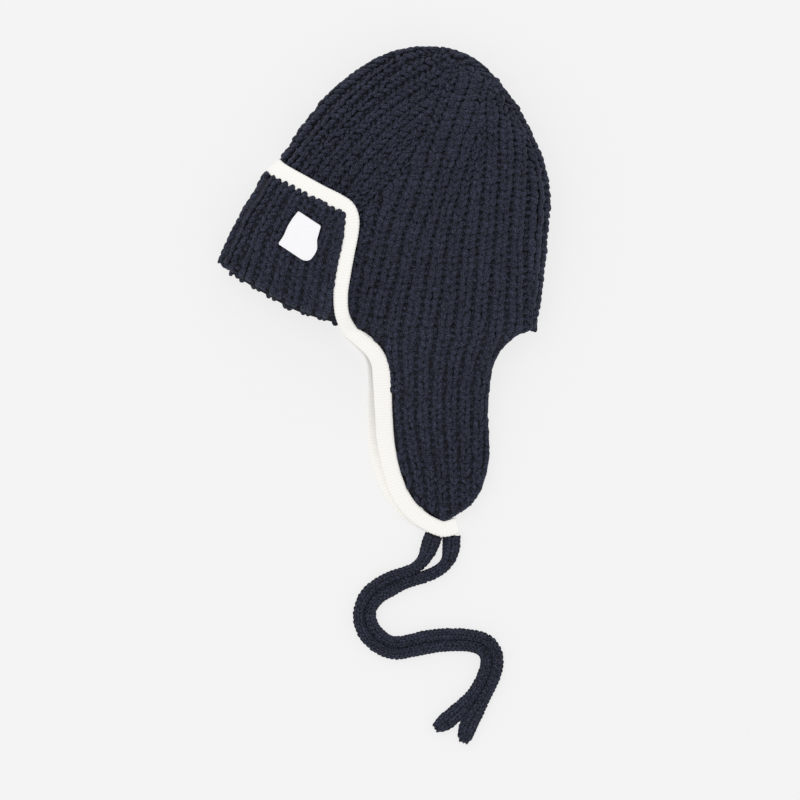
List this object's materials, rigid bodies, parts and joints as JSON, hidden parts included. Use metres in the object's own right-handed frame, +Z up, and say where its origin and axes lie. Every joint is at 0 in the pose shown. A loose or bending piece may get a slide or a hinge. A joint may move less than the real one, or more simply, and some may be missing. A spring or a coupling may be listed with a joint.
{
  "type": "earflap beanie",
  "caption": "Chunky rib-knit beanie lying on its side: open hollow crown with earflaps, turned-up front flap, pale edge band, woven patch and two knitted ties.",
  "frame": {"origin": "on the floor under the middle of the hat's box, measured without the ties", "axes": "+X towards the back of the head, +Y from the rim towards the top of the crown, +Z up from the floor, so the hat lies on its right side with the wearer's left side up"},
  "size_m": [0.2485, 0.524, 0.0534],
  "materials": {
    "dark_yarn": "chunky matt wool-blend yarn, rib knit, dark navy",
    "pale_yarn": "matt knitted band, off-white",
    "patch_weave": "fine woven patch, white, bare",
    "tie_yarn": "knitted cord in the same dark navy yarn"
  },
  "bodies": {
    "root": {"crown": "dark_yarn", "front_flap": "dark_yarn", "edge_band": "pale_yarn", "label_patch": "patch_weave", "tie_left": "tie_yarn", "tie_right": "tie_yarn"}
  },
  "joints": []
}
